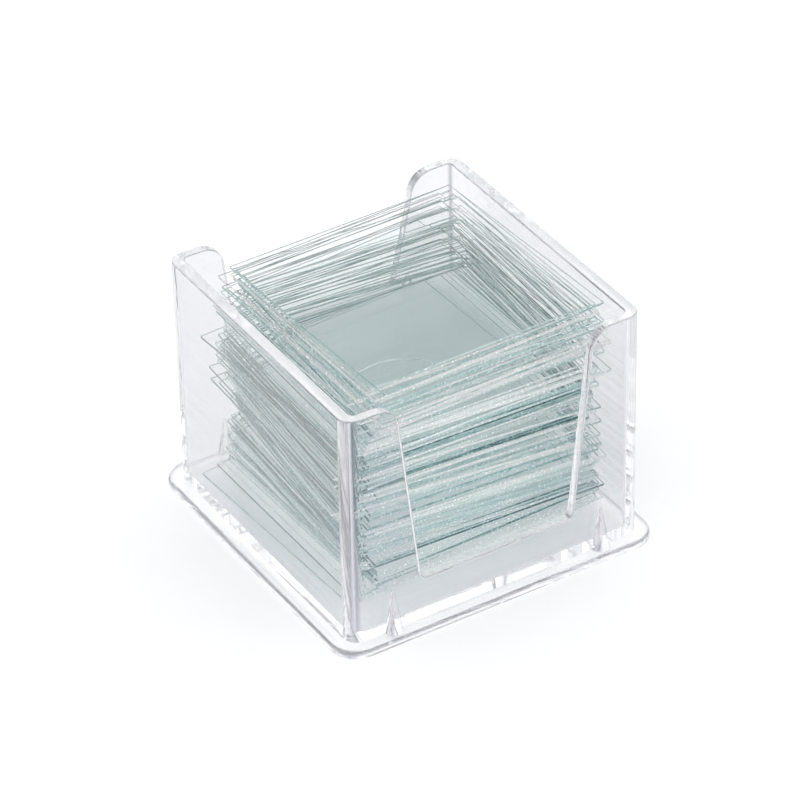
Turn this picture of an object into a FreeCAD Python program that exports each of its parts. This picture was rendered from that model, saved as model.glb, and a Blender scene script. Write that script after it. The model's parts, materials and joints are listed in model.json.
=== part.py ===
"""Open-sided tray holding a stack of one hundred square cover glasses.

The tray is one clear moulding: a flanged base, two full side walls (-X and +X) and two end
walls (-Y and +Y) that are cut away in a wide tapered mouth, so that finger and thumb can
pinch the stack and lift glasses out upwards. Millimetres, +Z up. The origin is the centre
of the underside.
"""
import FreeCAD, Part
import math
import os
import random

import Sketcher

# Driving sizes, in millimetres, degrees and counts.
SIZES = {
    "glass_length": 18.0,  # cover glass along X
    "glass_width": 18.0,  # cover glass along Y
    "glass_thickness": 0.166,
    "glass_gap": 0.005,  # air between two stacked glasses
    "side_play": 1.85,  # cavity beyond the glass, at each side wall
    "end_play": 2.00,  # cavity beyond the glass, at each end wall
    "wall_clearance": 0.10,  # least room kept between a glass corner and a wall
    "pinch_half_width": 3.30,  # half of the stretch of each mouth where a fingertip goes in
    "pinch_room": 0.45,  # kept free there, from the wall's inner face to the glasses
    "rim_above_stack": 0.65,
    "packet_count": 8,  # groups of ten under the single glasses
    "glasses_in_packet": 10,
    "single_count": 20,  # glasses that lift one at a time
    "side_wall": 0.90,
    "end_wall": 0.75,
    "wall_corner": 1.10,
    "cavity_corner": 0.35,
    "floor_thickness": 1.10,
    "flange_flat": 0.72,  # level band of the flange around the walls
    "flange_round": 0.35,  # rounded rim outside that band
    "flange_thickness": 0.50,
    "flange_corner": 2.10,
    "rim_round": 0.13,  # softened edges along the top of the walls and around the mouths
    "sill_rise": 3.36,  # low wall left under each mouth, above the flange
    "wing_at_sill": 5.70,  # end wall left beside the mouth, at the sill
    "wing_at_rim": 4.00,  # the same at the rim, before its corner is rounded
    "wing_round": 1.80,
    "sill_round": 0.45,
    "front_rib_inset": 3.36,  # from the side wall's outer face to a rib's middle
    "back_rib_inset": 4.40,
    "rib_edge_gap": 0.05,  # from a rib's foot to the flange's rounded rim
    "rib_tip_radius": 0.11,
    "gate_recess_radius": 3.90,
    "gate_recess_depth": 0.06,
}

SHEET = "sizes"
GLASS_COUNT = f"({SHEET}.packet_count * {SHEET}.glasses_in_packet + {SHEET}.single_count)"
STACK_HEIGHT = f"({GLASS_COUNT} * ({SHEET}.glass_thickness + {SHEET}.glass_gap))"
CAVITY_LENGTH = f"({SHEET}.glass_length + 2 * {SHEET}.side_play)"
CAVITY_WIDTH = f"({SHEET}.glass_width + 2 * {SHEET}.end_play)"
TRAY_LENGTH = f"({CAVITY_LENGTH} + 2 * {SHEET}.side_wall)"
TRAY_WIDTH = f"({CAVITY_WIDTH} + 2 * {SHEET}.end_wall)"
TRAY_HEIGHT = f"({SHEET}.floor_thickness + {STACK_HEIGHT} + {SHEET}.rim_above_stack)"
FLANGE_OVERHANG = f"({SHEET}.flange_flat + {SHEET}.flange_round)"
CAVITY_DEPTH = f"({STACK_HEIGHT} + {SHEET}.rim_above_stack)"
SILL_TOP = f"({SHEET}.flange_thickness + {SHEET}.sill_rise)"

STACK_SEED = 18  # fixes how the loose glasses happen to lie
# How the stack leans, from the floor up: height in the stack (0 to 1), then the turn and the
# shifts along X and Y, each as a share of the room that the cavity leaves, then the looseness.
STACK_LEAN = [
    (0.00, 0.24, -0.60, 0.90, 0.2),
    (0.01, 0.05, 0.10, 0.60, 0.2),
    (0.03, 0.10, 0.70, 0.50, 0.4),
    (0.20, -0.30, 0.55, 0.10, 0.8),
    (0.33, -0.45, 0.80, -0.30, 1.0),
    (0.45, -0.35, 0.30, -0.20, 1.2),
    (0.58, -0.10, -0.15, 0.20, 1.5),
    (0.66, -0.15, 0.25, -0.10, 1.0),
    (0.78, -0.10, 0.50, -0.10, 1.0),
    (0.90, 0.15, 0.50, 0.00, 1.3),
    (0.97, 0.10, 0.60, 0.20, 1.6),
    (1.00, 0.25, 0.85, -0.05, 0.5),
]
TURN_JITTER = 0.16  # how far a glass of looseness 1 strays from the lean, as shares
SHIFT_JITTER = 0.45
STRAY_EVERY = 7  # one glass in seven lies clearly out of line with its neighbours
STRAY_FACTOR = 3.0

doc = FreeCAD.newDocument("cover_glass_tray")
sheet = doc.addObject("Spreadsheet::Sheet", SHEET)


def fill_sheet():
    """Writes every driving size into the sheet under its own alias."""
    for row, (alias, value) in enumerate(SIZES.items(), start=1):
        sheet.set(f"A{row}", alias)
        sheet.set(f"B{row}", str(value))
        sheet.setAlias(f"B{row}", alias)
    doc.recompute()


def value_of(expression):
    """A derived size as a plain number, from the same text that the features are bound to."""
    return float(sheet.evalExpression(expression))


def size(alias):
    """A driving size as a plain number, read from the sheet."""
    return value_of(f"{SHEET}.{alias}")


def origin_plane(body, role):
    """One of a body's own origin planes, such as XY_Plane."""
    return next(f for f in body.Origin.OriginFeatures if f.Role == role)


def new_sketch(body, name, role, lift=None):
    """A sketch on one of the body's origin planes, moved along its normal by an expression."""
    sketch = body.newObject("Sketcher::SketchObject", name)
    sketch.AttachmentSupport = [(origin_plane(body, role), "")]
    sketch.MapMode = "FlatFace"
    if lift:
        sketch.setExpression("AttachmentOffset.Base.z", lift)
    return sketch


def name_constraint(sketch, constraint, name, expression):
    """Adds a dimension under a name and binds it to an expression."""
    number = sketch.addConstraint(constraint)
    sketch.renameConstraint(number, name)
    sketch.setExpression(f"Constraints.{name}", expression)


def rounded_rectangle(sketch, length, width, radius):
    """A rectangle with rounded corners, centred on the origin: four lines and four arcs."""
    half_x, half_y = value_of(length) / 2, value_of(width) / 2
    r = value_of(radius)
    corners = [(1, -1, -90), (1, 1, 0), (-1, 1, 90), (-1, -1, 180)]
    lines, arcs = [], []
    for k, (sx, sy, start) in enumerate(corners):
        centre = FreeCAD.Vector(sx * (half_x - r), sy * (half_y - r), 0)
        circle = Part.Circle(centre, FreeCAD.Vector(0, 0, 1), r)
        first, last = math.radians(start), math.radians(start + 90)
        arcs.append(sketch.addGeometry(Part.ArcOfCircle(circle, first, last), False))
        nx, ny, _ = corners[(k + 1) % 4]
        leaves = centre + FreeCAD.Vector(math.cos(last), math.sin(last), 0) * r
        next_centre = FreeCAD.Vector(nx * (half_x - r), ny * (half_y - r), 0)
        arrives = next_centre + FreeCAD.Vector(math.cos(last), math.sin(last), 0) * r
        lines.append(sketch.addGeometry(Part.LineSegment(leaves, arrives), False))
    for k in range(4):
        sketch.addConstraint(Sketcher.Constraint("Tangent", arcs[k], 2, lines[k], 1))
        sketch.addConstraint(Sketcher.Constraint("Tangent", lines[k], 2, arcs[(k + 1) % 4], 1))
        level = "Horizontal" if k % 2 else "Vertical"
        sketch.addConstraint(Sketcher.Constraint(level, lines[k]))
    for k in range(1, 4):
        sketch.addConstraint(Sketcher.Constraint("Equal", arcs[0], arcs[k]))
    sketch.addConstraint(Sketcher.Constraint("Symmetric", arcs[0], 3, arcs[2], 3, -1, 1))
    across = Sketcher.Constraint("DistanceX", lines[2], 1, lines[0], 1, 2 * half_x)
    name_constraint(sketch, across, "overall_length", length)
    along = Sketcher.Constraint("DistanceY", lines[3], 1, lines[1], 1, 2 * half_y)
    name_constraint(sketch, along, "overall_width", width)
    corner = Sketcher.Constraint("Radius", arcs[0], r)
    name_constraint(sketch, corner, "corner_radius", radius)


def fillet_edges(body, name, wanted, radius):
    """Rounds the edges of the body's tip that the test picks out."""
    doc.recompute()
    tip = body.Tip
    edges = [f"Edge{n}" for n, e in enumerate(tip.Shape.Edges, start=1) if wanted(e)]
    if not edges:
        raise RuntimeError(f"{name}: no edge to round")
    fillet = body.newObject("PartDesign::Fillet", name)
    fillet.Base = (tip, edges)
    fillet.setExpression("Radius", radius)
    return fillet


def near(a, b):
    return abs(a - b) < 1e-4


def lies_level(edge, height):
    """True for an edge that lies wholly at one height."""
    box = edge.BoundBox
    return near(box.ZMin, height) and near(box.ZMax, height)


def crosses_wall(edge, height, half):
    """True for an edge that runs through an end wall, at this height and this far from the middle."""
    box = edge.BoundBox
    return lies_level(edge, height) and near(abs(box.XMin), half) and near(box.XLength, 0)


def cut_checked(body, feature):
    """Recomputes and makes sure that a cut really took material away."""
    doc.recompute()
    before = feature.BaseFeature.Shape.Volume
    if not feature.Shape.Volume < before - 1e-3:
        raise RuntimeError(f"{feature.Name} cut nothing")


def make_tray():
    body = doc.addObject("PartDesign::Body", "tray")
    body.Label = "tray"
    add_flange(body)
    add_walls(body)
    cut_cavity(body)
    cut_mouths(body)
    round_rim(body)
    add_lid_ribs(body)
    cut_gate_recess(body)
    doc.recompute()
    return body


def add_flange(body):
    """The base plate that runs out past the walls, with a rounded upper rim."""
    sketch = new_sketch(body, "flange_outline", "XY_Plane")
    length = f"{TRAY_LENGTH} + 2 * {FLANGE_OVERHANG}"
    width = f"{TRAY_WIDTH} + 2 * {FLANGE_OVERHANG}"
    rounded_rectangle(sketch, length, width, f"{SHEET}.flange_corner")
    pad = body.newObject("PartDesign::Pad", "flange")
    pad.Profile = sketch
    pad.setExpression("Length", f"{SHEET}.flange_thickness")
    doc.recompute()
    top = size("flange_thickness")
    fillet_edges(body, "flange_rim", lambda edge: lies_level(edge, top), f"{SHEET}.flange_round")


def add_walls(body):
    """A solid block as high as the walls, hollowed out by the cuts that follow."""
    sketch = new_sketch(body, "wall_outline", "XY_Plane")
    rounded_rectangle(sketch, TRAY_LENGTH, TRAY_WIDTH, f"{SHEET}.wall_corner")
    pad = body.newObject("PartDesign::Pad", "wall_block")
    pad.Profile = sketch
    pad.setExpression("Length", TRAY_HEIGHT)


def cut_cavity(body):
    """The square well that the glasses lie in, cut from the rim down to the floor."""
    sketch = new_sketch(body, "cavity_outline", "XY_Plane", TRAY_HEIGHT)
    rounded_rectangle(sketch, CAVITY_LENGTH, CAVITY_WIDTH, f"{SHEET}.cavity_corner")
    pocket = body.newObject("PartDesign::Pocket", "cavity")
    pocket.Profile = sketch
    pocket.setExpression("Length", CAVITY_DEPTH)
    cut_checked(body, pocket)


def cut_mouths(body):
    """The tapered mouth through both end walls, from the sill up, with rounded corners."""
    sketch = new_sketch(body, "mouth_outline", "XZ_Plane")
    rim, sill = value_of(TRAY_HEIGHT), value_of(SILL_TOP)
    half_rim = value_of(f"{TRAY_LENGTH} / 2 - {SHEET}.wing_at_rim")
    half_sill = value_of(f"{TRAY_LENGTH} / 2 - {SHEET}.wing_at_sill")
    corners = [(-half_sill, sill), (half_sill, sill), (half_rim, rim), (-half_rim, rim)]
    points = [FreeCAD.Vector(x, y, 0) for x, y in corners]
    for k in range(4):
        sketch.addGeometry(Part.LineSegment(points[k], points[(k + 1) % 4]), False)
    for k in range(4):
        sketch.addConstraint(Sketcher.Constraint("Coincident", k, 2, (k + 1) % 4, 1))
    sketch.addConstraint(Sketcher.Constraint("Symmetric", 0, 1, 0, 2, -2))
    sketch.addConstraint(Sketcher.Constraint("Symmetric", 2, 1, 2, 2, -2))
    sill_mouth = Sketcher.Constraint("DistanceX", 0, 1, 0, 2, 2 * half_sill)
    name_constraint(sketch, sill_mouth, "mouth_at_sill", f"{TRAY_LENGTH} - 2 * {SHEET}.wing_at_sill")
    rim_mouth = Sketcher.Constraint("DistanceX", 2, 2, 2, 1, 2 * half_rim)
    name_constraint(sketch, rim_mouth, "mouth_at_rim", f"{TRAY_LENGTH} - 2 * {SHEET}.wing_at_rim")
    name_constraint(sketch, Sketcher.Constraint("DistanceY", -1, 1, 0, 1, sill), "sill", SILL_TOP)
    name_constraint(sketch, Sketcher.Constraint("DistanceY", -1, 1, 2, 1, rim), "rim", TRAY_HEIGHT)
    pocket = body.newObject("PartDesign::Pocket", "mouths")
    pocket.Profile = sketch
    pocket.Midplane = True
    pocket.setExpression("Length", f"{TRAY_WIDTH} + 2 * {FLANGE_OVERHANG}")
    cut_checked(body, pocket)

    fillet_edges(
        body, "wing_corners", lambda edge: crosses_wall(edge, rim, half_rim), f"{SHEET}.wing_round"
    )
    fillet_edges(
        body, "sill_corners", lambda edge: crosses_wall(edge, sill, half_sill), f"{SHEET}.sill_round"
    )


def round_rim(body):
    """Softens the edges that a finger meets: the top of the walls."""
    rim = value_of(TRAY_HEIGHT)
    fillet_edges(body, "rim_edges", lambda edge: lies_level(edge, rim), f"{SHEET}.rim_round")


def add_lid_ribs(body):
    """Four tapered half-round ribs on the end walls, from the flange up to the sill, which
    centre a lid slid down over the walls."""
    for end, toward in (("front", -1), ("back", 1)):
        for side, hand in (("left", -1), ("right", 1)):
            rib = body.newObject("PartDesign::AdditiveCone", f"{end}_{side}_rib")
            rib.setExpression("Radius1", f"{SHEET}.flange_flat - {SHEET}.rib_edge_gap")
            rib.setExpression("Radius2", f"{SHEET}.rib_tip_radius")
            rib.setExpression("Height", f"{SHEET}.sill_rise")
            rib.Angle = 180
            turn = 180 if toward < 0 else 0
            rib.Placement.Rotation = FreeCAD.Rotation(FreeCAD.Vector(0, 0, 1), turn)
            inset = f"({TRAY_LENGTH} / 2 - {SHEET}.{end}_rib_inset)"
            rib.setExpression("Placement.Base.x", f"{hand} * {inset}")
            rib.setExpression("Placement.Base.y", f"{toward} * {TRAY_WIDTH} / 2")
            rib.setExpression("Placement.Base.z", f"{SHEET}.flange_thickness")
            doc.recompute()


def cut_gate_recess(body):
    """The shallow round recess under the floor, where the moulding gate was."""
    recess = body.newObject("PartDesign::SubtractiveCylinder", "gate_recess")
    recess.setExpression("Radius", f"{SHEET}.gate_recess_radius")
    recess.setExpression("Height", f"{SHEET}.gate_recess_depth")
    cut_checked(body, recess)


def lean_at(height):
    """Turn, shifts and looseness of the stack at a height from 0 to 1."""
    for low, high in zip(STACK_LEAN, STACK_LEAN[1:]):
        if height <= high[0]:
            t = (height - low[0]) / (high[0] - low[0])
            return [a + (b - a) * t for a, b in zip(low[1:], high[1:])]
    return list(STACK_LEAN[-1][1:])


def largest_turn():
    """Most that a glass can turn, in degrees, with its corners still clear of the walls."""
    room_x = value_of(CAVITY_LENGTH) - 2 * size("wall_clearance")
    room_y = value_of(CAVITY_WIDTH) - 2 * size("wall_clearance")
    length, width = size("glass_length"), size("glass_width")
    diagonal, lean = math.hypot(length, width), math.atan2(width, length)
    turn_x = lean - math.acos(min(1.0, room_x / diagonal))
    turn_y = math.asin(min(1.0, room_y / diagonal)) - lean
    return math.degrees(max(0.0, min(turn_x, turn_y)))


def within(share):
    return max(-1.0, min(1.0, share))


def glass_placement(number, count, dice):
    """Where glass number (0 at the bottom) lies: its corner's place and its turn about Z."""
    turn_share, x_share, y_share, loose = lean_at(number / (count - 1))
    if number % STRAY_EVERY == STRAY_EVERY - 1:
        loose *= STRAY_FACTOR
    turn_share += loose * TURN_JITTER * dice.uniform(-1, 1)
    x_share += loose * SHIFT_JITTER * dice.uniform(-1, 1)
    y_share += loose * SHIFT_JITTER * dice.uniform(-1, 1)
    turn = within(turn_share) * largest_turn()
    length, width = size("glass_length"), size("glass_width")
    c, s = math.cos(math.radians(turn)), math.sin(math.radians(turn))
    reach_x = (length * c + width * abs(s)) / 2
    reach_y = (length * abs(s) + width * c) / 2
    free_x = value_of(CAVITY_LENGTH) / 2 - size("wall_clearance") - reach_x
    free_y = value_of(CAVITY_WIDTH) / 2 - size("wall_clearance") - reach_y
    centre_x = within(x_share) * free_x
    pitch = size("glass_thickness") + size("glass_gap")
    base = size("floor_thickness") + size("glass_gap") + number * pitch
    if base + pitch > value_of(SILL_TOP):
        edge_reach = width / 2 / c + (size("pinch_half_width") + abs(centre_x)) * abs(s) / c
        pinch_free = value_of(CAVITY_WIDTH) / 2 - size("pinch_room") - edge_reach
        free_y = max(0.0, min(free_y, pinch_free))
    centre_y = within(y_share) * free_y
    corner_x = centre_x - (length * c - width * s) / 2
    corner_y = centre_y - (length * s + width * c) / 2
    where = FreeCAD.Vector(corner_x, corner_y, base)
    return FreeCAD.Placement(where, FreeCAD.Rotation(FreeCAD.Vector(0, 0, 1), turn))


def make_glass(number, count, dice):
    glass = doc.addObject("Part::Box", f"cover_glass_{number + 1:03d}")
    glass.setExpression("Length", f"{SHEET}.glass_length")
    glass.setExpression("Width", f"{SHEET}.glass_width")
    glass.setExpression("Height", f"{SHEET}.glass_thickness")
    glass.Placement = glass_placement(number, count, dice)
    glass.Label = f"cover_glass_{number + 1:03d}"
    return glass


def make_stack():
    """Packets of ten at the bottom, then single glasses. Returns the sub-parts to write."""
    packets, in_packet = int(size("packet_count")), int(size("glasses_in_packet"))
    singles = int(size("single_count"))
    count = packets * in_packet + singles
    dice = random.Random(STACK_SEED)
    glasses = [make_glass(k, count, dice) for k in range(count)]
    nodes = []
    for p in range(packets):
        first, last = p * in_packet, (p + 1) * in_packet
        packet = doc.addObject("Part::Compound", f"packet_{p + 1}")
        packet.Links = glasses[first:last]
        packet.Label = f"cover_glasses_{first + 1:03d}_to_{last:03d}"
        nodes.append(packet)
    return nodes + glasses[packets * in_packet :]


def check_all(nodes):
    for thing in doc.Objects:
        if {"Invalid", "Error"} & set(thing.State):
            raise RuntimeError(f"{thing.Name} failed: {thing.State}")
    for node in nodes:
        if node.Shape.isNull() or not node.Shape.isValid():
            raise RuntimeError(f"{node.Label} has no valid shape")


fill_sheet()
sub_parts = [make_tray()] + make_stack()
doc.recompute()
check_all(sub_parts)
os.makedirs("parts", exist_ok=True)
for sub_part in sub_parts:
    sub_part.Shape.exportStep(f"parts/{sub_part.Label}.step")
box = sub_parts[0].Shape.optimalBoundingBox()
print(f"{len(sub_parts)} nodes, tray {box.XLength:.2f} x {box.YLength:.2f} x {box.ZLength:.2f}")
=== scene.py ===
"""Looks of the cover glass tray: clear moulded plastic around a loose stack of cover glasses.

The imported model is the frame. The tray's own CAD node stays and gets a clear plastic. Each glass
node, a packet of ten or a single glass, is replaced by one closed block with the same steps, so
that light passes a packet as it passes glasses lying close on each other.
"""
import json
import math

import bpy
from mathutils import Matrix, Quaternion, Vector


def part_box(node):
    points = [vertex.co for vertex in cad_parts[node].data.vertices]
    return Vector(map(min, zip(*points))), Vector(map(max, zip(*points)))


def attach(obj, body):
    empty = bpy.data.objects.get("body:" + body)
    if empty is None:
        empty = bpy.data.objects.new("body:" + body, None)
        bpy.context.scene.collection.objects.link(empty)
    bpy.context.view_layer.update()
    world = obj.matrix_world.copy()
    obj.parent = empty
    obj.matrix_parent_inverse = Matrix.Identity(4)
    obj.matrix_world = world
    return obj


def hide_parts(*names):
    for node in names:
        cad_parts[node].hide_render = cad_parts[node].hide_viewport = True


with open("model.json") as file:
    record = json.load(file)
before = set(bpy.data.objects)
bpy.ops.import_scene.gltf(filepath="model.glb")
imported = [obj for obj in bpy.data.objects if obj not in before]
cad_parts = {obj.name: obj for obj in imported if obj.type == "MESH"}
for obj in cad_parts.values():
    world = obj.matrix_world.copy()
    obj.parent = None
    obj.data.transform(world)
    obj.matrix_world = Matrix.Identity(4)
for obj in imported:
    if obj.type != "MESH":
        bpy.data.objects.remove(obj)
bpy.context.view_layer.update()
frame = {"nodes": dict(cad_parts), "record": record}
scene = bpy.context.scene
MM = 0.001

# ---- camera ---------------------------------------------------------------------------------
CAMERA_AZIMUTH = -31.28  # degrees, 0 looks along +Y
CAMERA_ELEVATION = 35.79
CAMERA_ROLL = -1.25
CAMERA_DISTANCE = 0.3158  # metres
CAMERA_LENS = 205.9  # mm, on a 36 mm sensor
CAMERA_AIM = Vector((-0.00017, 0.00034, 0.00907))


def make_camera():
    a, e = math.radians(CAMERA_AZIMUTH), math.radians(CAMERA_ELEVATION)
    back = Vector((math.sin(a) * math.cos(e), -math.cos(a) * math.cos(e), math.sin(e)))
    data = bpy.data.cameras.new("camera")
    data.lens = CAMERA_LENS
    data.sensor_width = 36.0
    data.clip_start, data.clip_end = 0.005, 20.0
    camera = bpy.data.objects.new("camera", data)
    camera.location = CAMERA_AIM + back * CAMERA_DISTANCE
    camera.rotation_mode = "QUATERNION"
    roll = Quaternion((0, 0, 1), math.radians(CAMERA_ROLL))
    camera.rotation_quaternion = back.to_track_quat("Z", "Y") @ roll
    scene.collection.objects.link(camera)
    scene.camera = camera


# ---- node helpers ---------------------------------------------------------------------------
def new_material(name):
    material = bpy.data.materials.new(name)
    material.use_nodes = True
    material.node_tree.nodes.clear()
    return material, material.node_tree


def add(tree, kind, **inputs):
    """A new node. Names are inputs, with _ for a space, or else the node's own properties."""
    node = tree.nodes.new(kind)
    for key, value in inputs.items():
        socket = key.replace("_", " ")
        if socket in node.inputs:
            node.inputs[socket].default_value = value
        else:
            setattr(node, key, value)
    return node


def link(tree, source, target):
    tree.links.new(source, target)


def ramp(tree, value, stops):
    """A colour ramp: stops are (place, colour)."""
    node = tree.nodes.new("ShaderNodeValToRGB")
    node.color_ramp.interpolation = "LINEAR"
    elements = node.color_ramp.elements
    while len(elements) < len(stops):
        elements.new(1.0)
    for element, (place, colour) in zip(elements, stops):
        element.position = place
        element.color = (*colour, 1)
    link(tree, value, node.inputs["Fac"])
    return node.outputs["Color"]


def maths(tree, operation, a, b=0.0):
    """A math node on sockets or numbers."""
    node = tree.nodes.new("ShaderNodeMath")
    node.operation = operation
    for socket, value in zip(node.inputs, (a, b)):
        if isinstance(value, (int, float)):
            socket.default_value = value
        else:
            link(tree, value, socket)
    return node.outputs["Value"]


# ---- materials ------------------------------------------------------------------------------
PLASTIC_IOR = 1.58
GLASS_IOR = 1.52
PITCH = 0.171 * MM  # one glass and its air gap
STACK_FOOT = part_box("cover_glasses_001_to_010")[0][2] - 0.002 * MM  # just under the lowest glass

# Painted shade on the plastic: upright faces, and rounded edges more so, get a darker tint than level
# faces.
LEVEL_FACE = 0.985  # a face whose normal's Z is beyond this counts as level
FLAT_FACE = 0.99  # and one whose normal is this near to an axis as flat
ROUND_SHADE_GAIN = 3.2  # how fast painted shade darkens the tint as a face turns away from flat
UPRIGHT_SHADE_PLACE = 0.1
PLASTIC_TINT_AND_SHADE = [  # the plastic's own faint tint on level faces, then painted shade: darker on upright flat faces, darker still on ever rounder edges
    (0.00, (0.985, 0.985, 0.99)),
    (UPRIGHT_SHADE_PLACE, (0.900, 0.900, 0.918)),
    (0.32, (0.82, 0.81, 0.85)),
    (1.00, (0.45, 0.45, 0.50)),
]


def clear_plastic():
    """Clear polystyrene with the slight swirl of a moulding, its tint darkened by painted shade on
    upright faces and rounded edges.
    """
    material, tree = new_material("clear_plastic")
    output = add(tree, "ShaderNodeOutputMaterial")
    shader = add(tree, "ShaderNodeBsdfPrincipled", Roughness=0.015, IOR=PLASTIC_IOR)
    shader.inputs["Transmission Weight"].default_value = 1.0
    normal = add(tree, "ShaderNodeTexCoord").outputs["Normal"]
    parts = add(tree, "ShaderNodeSeparateXYZ")
    link(tree, normal, parts.inputs["Vector"])
    flat = maths(tree, "ABSOLUTE", parts.outputs["X"])
    for axis in "YZ":
        flat = maths(tree, "MAXIMUM", flat, maths(tree, "ABSOLUTE", parts.outputs[axis]))
    # painted shade: the rounder a face, and an upright one, the darker its tint
    round_shade = maths(tree, "MULTIPLY", maths(tree, "SUBTRACT", FLAT_FACE, flat), ROUND_SHADE_GAIN)
    round_shade = maths(tree, "MAXIMUM", round_shade, 0.0)
    upright = maths(tree, "LESS_THAN", maths(tree, "ABSOLUTE", parts.outputs["Z"]), LEVEL_FACE)
    shade_place = maths(tree, "ADD", round_shade, maths(tree, "MULTIPLY", upright, UPRIGHT_SHADE_PLACE))
    link(tree, ramp(tree, shade_place, PLASTIC_TINT_AND_SHADE), shader.inputs["Base Color"])
    place = add(tree, "ShaderNodeTexCoord").outputs["Object"]
    swirl = add(tree, "ShaderNodeTexNoise", Scale=110.0, Detail=1.0)
    link(tree, place, swirl.inputs["Vector"])
    bump = add(tree, "ShaderNodeBump", Strength=1.0, Distance=0.01 * MM)
    link(tree, swirl.outputs["Fac"], bump.inputs["Height"])
    link(tree, bump.outputs["Normal"], shader.inputs["Normal"])
    link(tree, shader.outputs["BSDF"], output.inputs["Surface"])
    return material


FACE_TINT = (0.9956, 0.9965, 0.9965)  # what one glass lets through
FACE_GLOSS = 0.02  # share of the real mirror gloss, since the glasses lie close on each other
SHUT_IN = 0.97  # a Fresnel share beyond this is light that can't get out of the glass


def glass_face(glasses):
    """The broad faces. They bend light, and mirror it only where it can't get out."""
    material, tree = new_material(f"glass_face_{glasses}")
    output = add(tree, "ShaderNodeOutputMaterial")
    tint = [c ** (glasses / 2) for c in FACE_TINT]
    bend = add(tree, "ShaderNodeBsdfRefraction", Roughness=0.0, IOR=GLASS_IOR)
    bend.inputs["Color"].default_value = (*tint, 1)
    mirror = add(tree, "ShaderNodeBsdfGlossy", Roughness=0.0)
    mirror.inputs["Color"].default_value = (*tint, 1)
    fresnel = add(tree, "ShaderNodeFresnel", IOR=GLASS_IOR)
    shut = maths(tree, "GREATER_THAN", fresnel.outputs["Fac"], SHUT_IN)
    faint = maths(tree, "MULTIPLY", fresnel.outputs["Fac"], FACE_GLOSS)
    mix = add(tree, "ShaderNodeMixShader")
    link(tree, maths(tree, "MAXIMUM", shut, faint), mix.inputs["Fac"])
    link(tree, bend.outputs["BSDF"], mix.inputs[1])
    link(tree, mirror.outputs["BSDF"], mix.inputs[2])
    link(tree, mix.outputs["Shader"], output.inputs["Surface"])
    return material


EDGE_TONES = [  # cut edges, from the darkest glass to the brightest
    (0.00, (0.06, 0.17, 0.17)),
    (0.22, (0.35, 0.57, 0.56)),
    (0.55, (0.68, 0.84, 0.83)),
    (0.78, (0.90, 0.97, 0.96)),
    (1.00, (1.00, 1.00, 1.00)),
]
EDGE_LIGHT = 0.79  # mean place on those tones, for the edges at the front and back, which get no painted shade
SIDE_PAINTED_SHADE = 0.60  # painted shade: how much darker the edges facing the sides are
FAN_START, FAN_END = 80.0, 92.0  # glasses over which that painted shade fades out, as light gets into the loose top ones
OWN_REACH = 1.1  # how far one glass's tone strays from the mean
RUN_REACH = 1.3  # the same for a run of neighbouring glasses
GRAIN_REACH = 0.45  # for the fine sparkle of the cut
STREAK_REACH = 0.8  # and for longer streaks along an edge


def centred(tree, value, reach):
    """A 0 to 1 value turned into one that runs evenly about zero."""
    return maths(tree, "MULTIPLY", maths(tree, "SUBTRACT", value, 0.5), reach)


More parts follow.
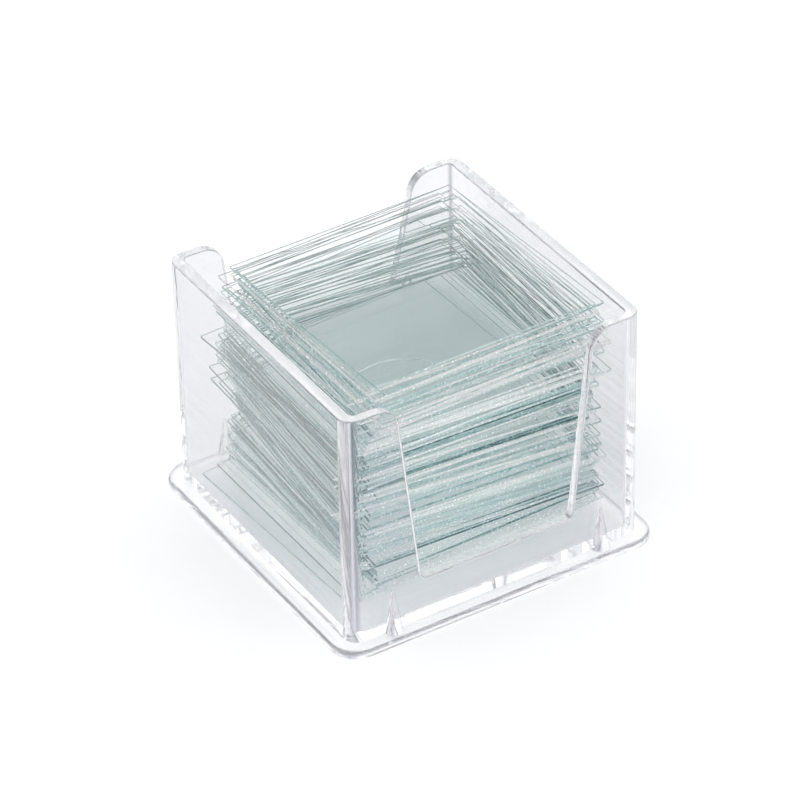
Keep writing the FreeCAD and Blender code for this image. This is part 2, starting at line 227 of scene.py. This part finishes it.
def glass_edge():
    """The cut edges: aqua and sparkling, each glass and each run of glasses of its own tone, with
    painted shade on the edges facing the sides that fades out over the loose top glasses.
    """
    material, tree = new_material("glass_edge")
    output = add(tree, "ShaderNodeOutputMaterial")
    shader = add(tree, "ShaderNodeBsdfPrincipled", IOR=GLASS_IOR)
    shader.inputs["Transmission Weight"].default_value = 0.45
    place = add(tree, "ShaderNodeTexCoord").outputs["Object"]
    split = add(tree, "ShaderNodeSeparateXYZ")
    link(tree, place, split.inputs["Vector"])
    height = maths(tree, "DIVIDE", maths(tree, "SUBTRACT", split.outputs["Z"], STACK_FOOT), PITCH)
    level = maths(tree, "FLOOR", height)
    dice = add(tree, "ShaderNodeTexWhiteNoise", noise_dimensions="1D")
    link(tree, level, dice.inputs["W"])
    runs = add(tree, "ShaderNodeTexNoise", noise_dimensions="1D", Scale=0.28, Detail=1.0)
    link(tree, level, runs.inputs["W"])
    along = add(tree, "ShaderNodeMapping")
    along.inputs["Scale"].default_value = (1.0, 1.0, 4.0)
    link(tree, place, along.inputs["Vector"])
    streak = add(tree, "ShaderNodeTexNoise", Scale=700.0, Detail=3.0, Roughness=0.6)
    link(tree, along.outputs["Vector"], streak.inputs["Vector"])
    grain = add(tree, "ShaderNodeTexNoise", Scale=6000.0, Detail=1.0)
    link(tree, place, grain.inputs["Vector"])
    own = centred(tree, dice.outputs["Value"], OWN_REACH)
    shared = centred(tree, runs.outputs["Fac"], RUN_REACH)
    speck = centred(tree, grain.outputs["Fac"], GRAIN_REACH)
    drift = centred(tree, streak.outputs["Fac"], STREAK_REACH)
    value = maths(tree, "ADD", maths(tree, "ADD", own, shared), maths(tree, "ADD", speck, drift))
    # painted shade: edges facing the sides are darker, less so in the loose top glasses
    side = add(tree, "ShaderNodeSeparateXYZ")
    link(tree, add(tree, "ShaderNodeTexCoord").outputs["Normal"], side.inputs["Vector"])
    shade_fade = add(tree, "ShaderNodeMapRange", From_Min=FAN_START, From_Max=FAN_END, To_Min=1.0, To_Max=0.0)
    link(tree, height, shade_fade.inputs["Value"])
    side_shade = maths(tree, "MULTIPLY", maths(tree, "ABSOLUTE", side.outputs["X"]), SIDE_PAINTED_SHADE)
    side_shade = maths(tree, "MULTIPLY", side_shade, shade_fade.outputs["Result"])
    value = maths(tree, "ADD", value, maths(tree, "SUBTRACT", EDGE_LIGHT, side_shade))
    link(tree, ramp(tree, value, EDGE_TONES), shader.inputs["Base Color"])
    rough = add(tree, "ShaderNodeMapRange", From_Min=0.3, From_Max=0.7, To_Min=0.10, To_Max=0.3)
    link(tree, grain.outputs["Fac"], rough.inputs["Value"])
    link(tree, rough.outputs["Result"], shader.inputs["Roughness"])
    bump = add(tree, "ShaderNodeBump", Strength=0.5, Distance=0.01 * MM)
    link(tree, grain.outputs["Fac"], bump.inputs["Height"])
    link(tree, bump.outputs["Normal"], shader.inputs["Normal"])
    link(tree, shader.outputs["BSDF"], output.inputs["Surface"])
    return material


# ---- glass blocks ---------------------------------------------------------------------------
JOIN_OVERLAP = 0.001 * MM  # a glass in a packet reaches this far into the one above it
LEVEL_DIGITS = 7  # decimals of a metre at which two heights or corners are one


def glass_outlines(node):
    """[(underside z, top z, four corners)] of the glasses in a CAD node, from the bottom up."""
    corners = {}
    for vertex in frame["nodes"][node].data.vertices:
        level = round(vertex.co.z, LEVEL_DIGITS)
        corner = (round(vertex.co.x, LEVEL_DIGITS), round(vertex.co.y, LEVEL_DIGITS))
        corners.setdefault(level, set()).add(corner)
    levels = sorted(corners)
    glasses = []
    for low, high in zip(levels[::2], levels[1::2]):
        around = sorted(corners[low], key=lambda p: math.atan2(p[1], p[0]))
        glasses.append((low, high, around))
    return glasses


def prism(name, low, high, outline, collection):
    """A closed prism over an outline that runs counter-clockwise."""
    count = len(outline)
    points = [(x, y, z) for z in (low, high) for x, y in outline]
    faces = [tuple(reversed(range(count))), tuple(range(count, 2 * count))]
    for k in range(count):
        after = (k + 1) % count
        faces.append((k, after, count + after, count + k))
    mesh = bpy.data.meshes.new(name)
    mesh.from_pydata(points, [], faces)
    mesh.update()
    solid = bpy.data.objects.new(name, mesh)
    collection.objects.link(solid)
    return solid


def glass_block(node, body, face_materials, edge_material):
    """One closed, stepped block for all the glasses in a node."""
    spare = bpy.data.collections.new("spare")
    scene.collection.children.link(spare)
    glasses = glass_outlines(node)
    solids = []
    for k, (low, high, outline) in enumerate(glasses):
        if k + 1 < len(glasses):
            high = glasses[k + 1][0] + JOIN_OVERLAP
        solids.append(prism(f"{node}_{k}", low, high, outline, spare))
    base = solids[0]
    if len(solids) > 1:
        spare.objects.unlink(base)
        scene.collection.objects.link(base)
        join = base.modifiers.new("join", "BOOLEAN")
        join.operation = "UNION"
        join.operand_type = "COLLECTION"
        join.collection = spare
        join.solver = "EXACT"
    bpy.context.view_layer.update()
    graph = bpy.context.evaluated_depsgraph_get()
    mesh = bpy.data.meshes.new_from_object(base.evaluated_get(graph))
    for solid in solids:
        bpy.data.objects.remove(solid)
    bpy.data.collections.remove(spare)
    mesh.name = f"{node}_look"
    block = bpy.data.objects.new(f"{node}_look", mesh)
    scene.collection.objects.link(block)
    mesh.materials.clear()
    mesh.materials.append(face_materials[len(glasses)])
    mesh.materials.append(edge_material)
    for face in mesh.polygons:
        face.material_index = 0 if abs(face.normal.z) > 0.7 else 1
    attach(block, body)
    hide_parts(node)


# ---- surroundings ---------------------------------------------------------------------------
FLOOR_REACH = 1.5
FLOOR_DROP = 0.02 * MM  # under the tray, so that the two faces never coincide


def make_floor():
    """A plain, matt, pale floor."""
    mesh = bpy.data.meshes.new("floor")
    signs = [(-1, -1), (1, -1), (1, 1), (-1, 1)]
    corners = [(x * FLOOR_REACH, y * FLOOR_REACH, -FLOOR_DROP) for x, y in signs]
    mesh.from_pydata(corners, [], [(0, 1, 2, 3)])
    floor = bpy.data.objects.new("floor", mesh)
    scene.collection.objects.link(floor)
    material, tree = new_material("pale_floor")
    output = add(tree, "ShaderNodeOutputMaterial")
    shader = add(tree, "ShaderNodeBsdfPrincipled", Roughness=0.9)
    shader.inputs["Base Color"].default_value = (0.9, 0.9, 0.9, 1)
    shader.inputs["Specular IOR Level"].default_value = 0.0
    link(tree, shader.outputs["BSDF"], output.inputs["Surface"])
    mesh.materials.append(material)


DOME_TONES = [  # by the height of the direction, from the horizon to straight up
    (0.00, (0.80, 0.80, 0.82)),
    (0.06, (0.25, 0.25, 0.28)),
    (0.22, (0.25, 0.25, 0.28)),
    (0.38, (0.95, 0.95, 0.96)),
    (1.00, (1.00, 1.00, 1.00)),
]


def make_dome():
    """A white tent: bright overhead, darker low down all round, with a pale backdrop behind."""
    world = bpy.data.worlds.new("tent")
    scene.world = world
    world.use_nodes = True
    tree = world.node_tree
    tree.nodes.clear()
    output = add(tree, "ShaderNodeOutputWorld")
    background = add(tree, "ShaderNodeBackground", Strength=1.35)
    place = add(tree, "ShaderNodeTexCoord").outputs["Generated"]
    split = add(tree, "ShaderNodeSeparateXYZ")
    link(tree, place, split.inputs["Vector"])
    link(tree, ramp(tree, split.outputs["Z"], DOME_TONES), background.inputs["Color"])
    backdrop = add(tree, "ShaderNodeBackground", Color=(0.97, 0.97, 0.97, 1), Strength=1.0)
    seen = add(tree, "ShaderNodeMixShader")
    link(tree, add(tree, "ShaderNodeLightPath").outputs["Is Camera Ray"], seen.inputs["Fac"])
    link(tree, background.outputs["Background"], seen.inputs[1])
    link(tree, backdrop.outputs["Background"], seen.inputs[2])
    link(tree, seen.outputs["Shader"], output.inputs["Surface"])


SURFACE_LIMIT = 200


def set_light_paths():
    """Clear pieces lie behind each other, so light has to pass many surfaces."""
    scene.cycles.max_bounces = SURFACE_LIMIT
    scene.cycles.transmission_bounces = SURFACE_LIMIT
    scene.cycles.glossy_bounces = 60
    scene.cycles.diffuse_bounces = 8
    scene.cycles.blur_glossy = 0.0
    scene.cycles.transparent_max_bounces = SURFACE_LIMIT
    scene.view_settings.view_transform = "Standard"


make_camera()
edge_material = glass_edge()
face_materials = {count: glass_face(count) for count in (1, 10)}
tray = frame["nodes"]["tray"]
tray.data.materials.clear()
tray.data.materials.append(clear_plastic())
body_of_node = {n: b for b, nodes in frame["record"]["behaviour"]["bodies"].items() for n in nodes}
for node in sorted(frame["nodes"]):
    if node != "tray":
        glass_block(node, body_of_node[node], face_materials, edge_material)
make_floor()
make_dome()
set_light_paths()
